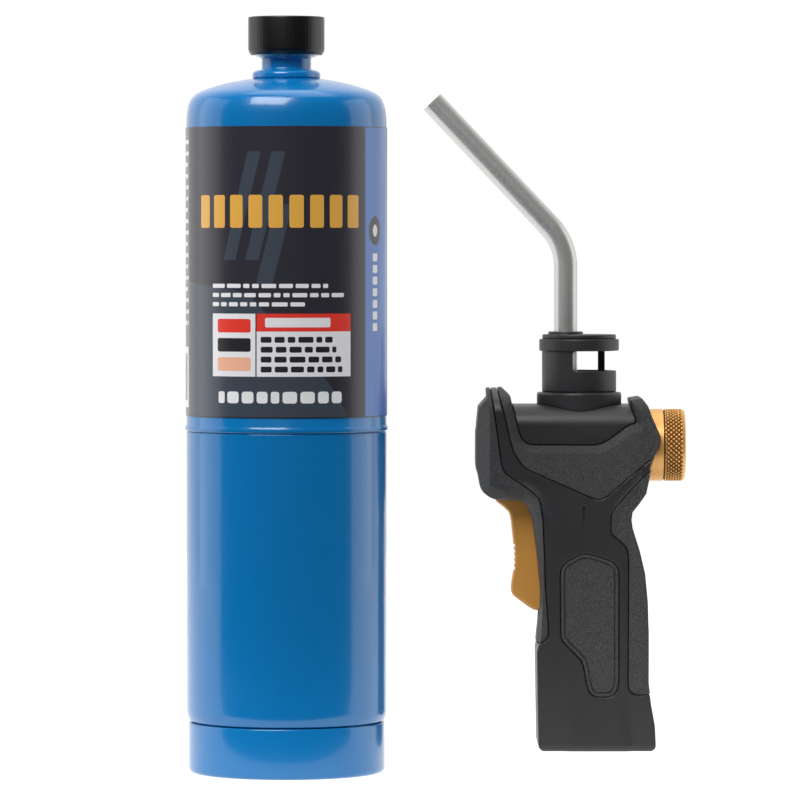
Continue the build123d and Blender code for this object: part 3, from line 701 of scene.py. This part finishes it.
def bodyField(grid):
    Y, Z, X = np.abs(grid["Y"]), grid["Z"], grid["X"]
    half = halfDepth(Z)
    side = Y - half
    outline = outlineField(grid, rounded(outlines["envelope"], 2))
    top = outlineField(grid, outlines["top"])
    rearRim = np.interp(Z, [0, 35, 60], [15.0, 12.0, head["rim"]])
    frontRim = np.interp(Z, [0, 30, 55, 92, 98], [16.0, 12.5, 9.0, 9.0, 2.4])
    frontStart = np.interp(Z, [0, 60, 98], [-6, -8, -28])
    rim = (rearRim + (frontRim - rearRim) * np.clip((frontStart - X) / 12, 0, 1)).astype(np.float32)
    big = roundMax(outline, side, rim)
    nose = (Y - head["noseHalf"]) * 0.6 + (head["noseStart"] - X) * 0.8
    big = softMax(big, nose, 0.3)
    lip = (Y - head["lipHalf"]) * 0.76 + ((103.4 - (X + 45.3) * 0.42) - Z) * 0.62 - np.maximum(X + 30, 0) * 3
    lip = np.where(X < -24, lip, -9).astype(np.float32)
    big = softMax(big, lip, 0.3)
    roof = Z - (head["roofTop"] - Y**2 / (2 * head["roofCurve"]))
    big = softMax(roundMax(big, roof, head["roofCorner"]), top, 0.4)
    saddle = outlineField(grid, outlines["saddle"])
    slope = (Y - (head["barrelHalf"] + head["flankSlope"] * np.maximum(saddle, 0))) * 0.81
    flank = np.where(saddle < 6, slope, -9).astype(np.float32)
    big = softMax(big, np.minimum(flank, 9), 0.25)
    big = softMax(big, np.broadcast_to(-saddle, big.shape), 0.4)
    crown = Z - (head["barrelTop"] - Y**2 / (2 * head["crown"]))
    barrel = roundMax(crown, Y - head["barrelHalf"], head["crownCorner"])
    barrel = np.maximum(np.maximum(barrel, outlineField(grid, outlines["core"])), top + 0.4)
    body = softMin(big, barrel, 0.5)
    core = np.maximum(
        np.maximum(body, roundMax(crown, side, head["crownCorner"])), outlineField(grid, outlines["core"]),
    )
    return roundMax(body, 0.05 - Z, head["baseCorner"]), core


def meshField(grid, field):
    low, step = grid["low"], grid["step"]
    volume = openvdb.FloatGrid(4.0)
    volume.copyFromArray(np.ascontiguousarray(np.clip(field, -4, 4), dtype=np.float32))
    points, quads = volume.convertToQuads(0.0)
    return points * step + np.array(low, np.float32), quads[:, ::-1]


def fieldPiece(name, grid, field, body, nodes, material, mirror=False):
    field = np.array(np.broadcast_to(field, grid["shape"]), dtype=np.float32)
    for axisIndex in range(3):
        edge = [slice(None)] * 3
        for end in (0, -1):
            edge[axisIndex] = end
            field[tuple(edge)] = np.maximum(field[tuple(edge)], 0.3)
    points, quads = meshField(grid, field)
    if mirror:
        points = points * np.array([1, -1, 1])
        quads = quads[:, ::-1]
    placed = (points + np.array([headX, headY, 0])) * mm
    mesh = bpy.data.meshes.new(name)
    mesh.vertices.add(len(placed))
    mesh.vertices.foreach_set("co", placed.astype(np.float32).ravel())
    mesh.loops.add(quads.size)
    mesh.loops.foreach_set("vertex_index", quads.astype(np.int32).ravel())
    mesh.polygons.add(len(quads))
    mesh.polygons.foreach_set("loop_start", np.arange(0, quads.size, 4, dtype=np.int32))
    mesh.update(calc_edges=True)
    mesh.validate()
    mesh.shade_smooth()
    mesh.materials.append(material)
    piece = bpy.data.objects.new(name, mesh)
    bpy.context.scene.collection.objects.link(piece)
    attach(piece, body)
    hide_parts(*nodes)
    return piece


def region(grid, name):
    return outlineField(grid, rounded(outlines[name], 1))


def boxField(grid, low, high):
    axes = [grid["X"], grid["Y"], grid["Z"]]
    field = None
    for value, a, b in zip(axes, low, high):
        one = np.maximum(a - value, value - b)
        field = one if field is None else np.maximum(field, one)
    return field


slotLow, slotHigh = (-34.5, -6.0, 50.3), (-15.5, 6.0, 109.0)


def knobPocket(grid):
    # counterbore round the knob's sleeve, with a smaller hole for the valve behind it
    away = np.sqrt((grid["Z"] - head["knobHeight"]) ** 2 + grid["Y"] ** 2)
    well = np.maximum(away - head["knobWell"], head["knobWellDeep"] - grid["X"])
    hole = np.maximum(away - head["valveHole"], head["valveHoleDeep"] - grid["X"])
    return np.minimum(well, hole), away


def fieldPair(name, node, grid, field, material):
    # the left piece and its mirror image
    for suffix, mirror in (("Left", False), ("Right", True)):
        fieldPiece(
            name + suffix, grid, field, "torch_head", [node + "_" + suffix.lower()], material, mirror,
        )


def buildShell():
    grid = makeGrid((-42.4, -22.6, -0.7), (24.6, 0.7, 139.0), head["step"])
    body, core = bodyField(grid)
    gap = head["gap"]
    cut = np.minimum(np.minimum(region(grid, "sidePanel"), region(grid, "rearGrip")), region(grid, "bumper"))
    cut = np.minimum(cut, np.where(grid["Y"] < -10, region(grid, "badge"), 9))
    shell = softMax(body, gap - cut, 0.25)
    shell = np.minimum(shell, core + head["skin"])
    slit = boxField(grid, (-6.1, -30, 74.5), (-5.3, -18.6, 93.5))
    shell = np.maximum(shell, -slit)
    hollow = np.maximum(core + head["wall"], 3.0 - grid["Z"])
    shell = np.maximum(shell, -hollow)
    shell = np.maximum(shell, -boxField(grid, slotLow, slotHigh))
    bore = head["inletBore"] - np.sqrt(grid["X"] ** 2 + grid["Y"] ** 2)
    shell = np.maximum(shell, np.minimum(bore, 4.0 - grid["Z"]))
    pocket, away = knobPocket(grid)
    wall = np.maximum(np.maximum(away - 16.3, np.maximum(14 - grid["X"], grid["X"] - 22)), core + 0.2)
    shell = np.maximum(np.minimum(shell, wall), -pocket)
    tube = np.sqrt((grid["X"] - head["tubeX"]) ** 2 + grid["Y"] ** 2) - 7.0
    shell = np.maximum(shell, np.minimum(-tube, grid["Z"] - 124))
    shell = np.maximum(np.maximum(shell, grid["Y"] + 0.02), 0.02 - grid["Z"])
    fieldPair("shell", "shell", grid, shell, nylon)


def buildPanels():
    grid = makeGrid((-39.5, -22.8, 95.0), (24.9, 0.7, 139.0), head["step"])
    body, core = bodyField(grid)
    panel = softMax(body - head["proud"], region(grid, "sidePanel"), 0.35)
    panel = np.maximum(panel, -(core + head["skin"] - head["overlap"]))
    panel = np.maximum(panel, -knobPocket(grid)[0])
    panel = np.maximum(panel, grid["Y"] + 0.02)
    fieldPair("sidePanel", "side_panel", grid, panel, overmould)


def buildBadges():
    grid = makeGrid((-15.5, -21.0, 19.5), (8.5, -15.5, 77.0), 0.24)
    body, core = bodyField(grid)
    shape = region(grid, "badge")
    badge = softMax(body - head["proud"], shape, 0.3)
    rim = np.maximum(np.abs(shape + 1.45) - 0.18, -(body + 0.4))
    badge = softMax(badge, -rim, 0.2)
    badge = np.maximum(badge, -(core + head["skin"] - head["overlap"]))
    fieldPair("badge", "badge", grid, badge, overmould)


def buildGripAndBumper():
    grid = makeGrid((3.0, -22.8, 20.5), (24.0, 22.8, 113.0), head["step"])
    body, core = bodyField(grid)
    grip = softMax(body - head["proud"], region(grid, "rearGrip"), 0.35)
    grip = np.maximum(np.maximum(grip, -(core + head["skin"] - head["overlap"])), -knobPocket(grid)[0])
    fieldPiece("rearGrip", grid, grip, "torch_head", ["rear_grip"], overmould)
    grid = makeGrid((-47.2, -22.8, 39.5), (-18.0, 22.8, 139.0), head["step"])
    body, core = bodyField(grid)
    bumper = softMax(body - head["proud"], region(grid, "bumper"), 0.35)
    bumper = np.maximum(bumper, -(core + head["skin"] - head["overlap"]))
    bumper = np.maximum(bumper, -boxField(grid, slotLow, slotHigh))
    fieldPiece("frontBumper", grid, bumper, "torch_head", ["front_bumper"], overmould)


def buildTrigger():
    lever = {"half": 5.5, "edge": 1.2, "pivot": (-24.0, 103.0), "hub": 4.0, "bore": 1.55}
    notches = {"count": 5, "x": -32.3, "low": 68.8, "pitch": 2.17, "radius": 0.85}
    grid = makeGrid((-40.5, -6.5, 51.5), (-17.5, 6.5, 108.0), 0.22)
    shape = outlineField(grid, rounded(outlines["trigger"], 1))
    flat = np.abs(grid["Y"]) - lever["half"]
    blade = roundMax(shape, flat, lever["edge"])
    ribs = None
    for index in range(notches["count"]):
        z = notches["low"] + index * notches["pitch"]
        notch = np.sqrt((grid["X"] - notches["x"]) ** 2 + (grid["Z"] - z) ** 2) - notches["radius"]
        ribs = notch if ribs is None else np.minimum(ribs, notch)
    blade = softMax(blade, -ribs, 0.15)
    pivotX, pivotZ = lever["pivot"]
    away = np.sqrt((grid["X"] - pivotX) ** 2 + (grid["Z"] - pivotZ) ** 2)
    blade = np.minimum(blade, np.maximum(away - lever["hub"], flat))
    blade = np.maximum(blade, lever["bore"] - away)
    fieldPiece("triggerLever", grid, blade, "trigger", ["trigger"], goldAbs)


buildShell()
print("shell built")
buildPanels()
buildBadges()
print("panels built")
buildGripAndBumper()
buildTrigger()
print("grip, bumper and trigger built")


# knob


def makeKnurlFinishAndGrooveShade():
    # gold anodising with painted shade: bright on the diamonds' tops, with dark brown painted into the
    # grooves to stand in for the shade that falls there
    material, tree, shader = newMaterial("knurled gold aluminium with painted groove shade", "E0A65C", Metallic=0.6, Roughness=0.42)
    groove = addNode(tree, "Attribute", attribute_name="groove").outputs["Fac"]
    # painted shade: the groove value darkens the base colour from gold to dark brown
    shade = ramp(tree, groove, [(0.12, colour("E6AE66")), (0.5, colour("B98542")), (0.95, colour("40270F"))])
    tree.links.new(shade, shader.inputs["Base Color"])
    tree.links.new(ramp(tree, groove, [(0.1, grey(0.4)), (0.9, grey(0.6))]), shader.inputs["Roughness"])
    marks = addNode(tree, "TexNoise", {"Scale": 1800.0, "Detail": 3.0}, {"Vector": place(tree)})
    addBump(tree, shader, marks.outputs["Fac"], 0.000006)
    return material


def buildKnob():
    knob = {"radius": 13.75, "starts": 48, "rise": 0.55, "segments": 1152, "rows": 44, "turns": 3.2}
    knurl = {"start": 25.75, "length": 6.35, "ridge": 0.62, "fade": 3}
    stations = [
        (22.2, 3.0), (22.2, 10.5), (17.0, 10.5), (17.0, 13.4), (17.35, 13.72), (24.9, 13.75), (25.0, 13.3),
        (25.5, 13.25), (25.62, 13.7),
    ]
    first = len(stations)
    for row in range(knob["rows"]):
        stations.append((knurl["start"] + knurl["length"] * row / (knob["rows"] - 1), knob["radius"]))
    last = len(stations)
    stations += [(32.3, 13.55), (32.9, 13.3), (33.2, 12.8), (33.29, 12.2), (33.29, 0.01)]
    points, faces, grooves = [], [], []
    count = len(stations)
    for i in range(knob["segments"]):
        angle = 2 * math.pi * i / knob["segments"]
        for k, (x, radius) in enumerate(stations):
            # painted shade: the two stations of the ring groove in front of the knurl get a high groove
            # value, so they are painted dark
            groove = 0.9 if k in (first - 2, first - 3) else 0.0
            if first <= k < last:
                turn = angle * knob["starts"] / (2 * math.pi)
                shift = (x - knurl["start"]) / knurl["length"] * knob["turns"]
                a = abs(((turn + shift) % 1) - 0.5) * 2
                b = abs(((turn - shift) % 1) - 0.5) * 2
                fade = min(1.0, (k - first + 1) / knurl["fade"], (last - k) / knurl["fade"])
                groove = max(0.0, 1 - min(a, b) / knurl["ridge"]) * fade
                radius -= knob["rise"] * groove
            grooves.append(groove)
            y, z = headY + radius * math.cos(angle), head["knobHeight"] + radius * math.sin(angle)
            points.append(((headX + x) * mm, y * mm, z * mm))
    for i in range(knob["segments"]):
        j = (i + 1) % knob["segments"]
        for k in range(count - 1):
            faces.append((i * count + k, i * count + k + 1, j * count + k + 1, j * count + k))
    piece = newPiece(
        "flameKnob", points, faces, "knob", ["knob"], makeKnurlFinishAndGrooveShade(),
    )
    # the groove attribute carries the painted groove shade into the knob's colour
    depth = piece.data.attributes.new("groove", "FLOAT", "POINT")
    depth.data.foreach_set("value", grooves)
    hardEdges(piece, 32)


buildKnob()
print("knob cut")


# air collar


def buildCollar():
    collar = {
        "x": -7.0, "base": 16.15, "radius": 14.2, "upper": 15.24, "bore": 12.0, "edge": 0.45, "corner": 1.3,
    }
    levels = {
        "foot": 120, "baseTop": 136.25, "ringTop": 152.8, "upperTop": 156.55, "lidTop": 158.3,
        "spoutTop": 159.4,
    }
    window = {"low": 144.5, "high": 152.0, "turn": 11.5}
    strut = {"x": 1.5, "halfX": 1.3, "halfY": 1.7}
    grid = makeGrid((-26, -19, 118.6), (12, 19, 160.2), 0.26)
    X, Y, Z = grid["X"], grid["Y"], grid["Z"]
    away = np.sqrt((X - collar["x"]) ** 2 + Y**2)
    tubeAway = np.sqrt((X - head["tubeX"]) ** 2 + Y**2)
    core = bodyField(grid)[1]
    base = roundMax(away - collar["base"], Z - levels["baseTop"], 0.9)
    base = np.maximum(np.maximum(base, -core), 7.0 - tubeAway)
    fieldPiece(
        "collarBase", grid, np.maximum(base, levels["foot"] - Z), "torch_head", ["collar_base"],
        collarNylon,
    )
    ring = roundMax(away - collar["radius"], np.maximum(Z - levels["ringTop"], 136.35 - Z), collar["edge"])
    ring = np.minimum(
        ring,
        roundMax(
            away - collar["upper"], np.maximum(Z - levels["upperTop"], window["high"] - Z), collar["edge"],
        ),
    )
    edgeX = collar["x"] - collar["radius"] * math.sin(math.radians(window["turn"]))
    opening = roundMax(edgeX - X, np.maximum(window["low"] - Z, Z - window["high"]), collar["corner"])
    ring = np.maximum(softMax(ring, -opening, 0.35), collar["bore"] - away)
    fieldPiece("airCollar", grid, ring, "torch_head", ["air_collar"], collarNylon)
    lid = roundMax(away - 14.1, Z - levels["lidTop"], collar["edge"])
    lid = np.minimum(lid, roundMax(tubeAway - 6.65, Z - levels["spoutTop"], 0.35))
    lid = np.maximum(lid, 156.6 - Z)
    post = roundMax(np.abs(X - strut["x"]) - strut["halfX"], np.abs(Y) - strut["halfY"], 0.4)
    lid = np.minimum(lid, np.maximum(post, np.maximum(136.4 - Z, Z - 157)))
    lid = np.maximum(lid, 4.5 - tubeAway)
    fieldPiece("collarTop", grid, lid, "torch_head", ["collar_top"], collarNylon)


buildCollar()
print("collar built")


# burner tube


def buildTube():
    tube = {
        "low": 141.0, "bend": 193.1, "tip": (-63.2, 247.1), "radius": 4.46, "wall": 0.7, "bendRadius": 23.0,
    }
    start, corner = (Vector((head["tubeX"], tube[level])) for level in ("low", "bend"))
    end = Vector(tube["tip"])
    away = (end - corner).normalized()
    turn = math.acos(away.y)
    reach = tube["bendRadius"] * math.tan(turn / 2)
    path = [(start, 0.0)]
    centre = Vector((head["tubeX"] - tube["bendRadius"], tube["bend"] - reach))
    for step in range(25):
        angle = turn * step / 24
        path.append((centre + tube["bendRadius"] * Vector((math.cos(angle), math.sin(angle))), angle))
    path.append((end, turn))
    rings = [(tube["radius"], path), (tube["radius"] - tube["wall"], path[::-1])]
    points, faces, segments = [], [], 72
    for radius, stretch in rings:
        for spot, angle in stretch:
            for i in range(segments):
                a = 2 * math.pi * i / segments
                x = spot.x + radius * math.cos(a) * math.cos(angle)
                z = spot.y + radius * math.cos(a) * math.sin(angle)
                points.append(((headX + x) * mm, (headY + radius * math.sin(a)) * mm, z * mm))
    rows = len(points) // segments
    for row in range(rows):
        nextRow = (row + 1) % rows
        for i in range(segments):
            j = (i + 1) % segments
            faces.append(
                (row * segments + i, row * segments + j, nextRow * segments + j, nextRow * segments + i)
            )
    piece = newPiece("burnerTube", points, faces, "torch_head", ["burner_tube"], stainless)
    hardEdges(piece, 40)


buildTube()
print("tube bent")


# floor, light and camera


studio = {
    "aim": (0, 0, 0.14),
    "lights": {
        "key": ((-0.55, -1.25, 1.55), (1.3, 1.1), 39),
        "overhead": ((0.1, 0.1, 1.6), (1.4, 1.0), 7),
        "leftPanel": ((-1.3, 0.15, 0.4), (0.9, 1.4), 4),
        "rightPanel": ((1.3, 0.15, 0.4), (0.9, 1.4), 4.5),
    },
    "camera": {"angle": 8.35, "tilt": 1.608, "distance": 2000, "aside": 41.4, "height": 192},
}


def buildStage():
    paper = {"front": -120, "back": 1400, "half": 1500}
    corners = [
        (-paper["half"], paper["front"]), (paper["half"], paper["front"]), (paper["half"], paper["back"]),
        (-paper["half"], paper["back"]),
    ]
    mesh = bpy.data.meshes.new("studioFloor")
    mesh.from_pydata([(x * mm, y * mm, 0) for x, y in corners], [], [(0, 1, 2, 3)])
    floor = bpy.data.objects.new("studioFloor", mesh)
    bpy.context.scene.collection.objects.link(floor)
    # back-lit studio paper: plain, so that only the object shows
    material, _, shader = newMaterial("studio paper", "8C8C8C", Roughness=1.0, Emission_Strength=0.97)
    shader.inputs["Emission Color"].default_value = colour("FFFFFF")
    shader.inputs["Specular IOR Level"].default_value = 0.0
    mesh.materials.append(material)


def addLight(name, spot, size, power):
    data = bpy.data.lights.new(name, "AREA")
    data.shape, data.size, data.size_y = "RECTANGLE", size[0], size[1]
    data.energy = power
    light = bpy.data.objects.new(name, data)
    light.location = spot
    light.rotation_euler = (Vector(studio["aim"]) - Vector(spot)).to_track_quat("-Z", "Y").to_euler()
    bpy.context.scene.collection.objects.link(light)


def buildWorld(tree):
    # a dark room on the camera's side, so that glossy faces stay deep, and a pale one behind
    direction = addNode(tree, "TexCoord").outputs["Generated"]
    parts = addNode(tree, "SeparateXYZ", links={"Vector": direction})
    room = ramp(tree, parts.outputs["Y"], [(0.0, grey(0.06)), (0.35, grey(0.6)), (0.65, grey(1.0))])
    seen = addNode(tree, "LightPath").outputs["Is Camera Ray"]
    mixed = addNode(tree, "MixRGB", {"Color2": (1, 1, 1, 1)}, {"Fac": seen, "Color1": room})
    tree.links.new(mixed.outputs["Color"], tree.nodes["Background"].inputs["Color"])


buildStage()
world = bpy.data.worlds.new("studio")
bpy.context.scene.world = world
world.use_nodes = True
buildWorld(world.node_tree)
for name, (spot, size, power) in studio["lights"].items():
    addLight(name, spot, size, power)

view = bpy.context.scene.view_settings
view.view_transform = "Standard"
shot = studio["camera"]
camera = bpy.data.objects.new("camera", bpy.data.cameras.new("camera"))
camera.data.angle = math.radians(shot["angle"])
camera.data.clip_end = 20
camera.location = ((cylX + shot["aside"]) * mm, (cylY - shot["distance"]) * mm, shot["height"] * mm)
camera.rotation_euler = (math.radians(90 - shot["tilt"]), 0, 0)
bpy.context.scene.collection.objects.link(camera)
bpy.context.scene.camera = camera
print("stage set")
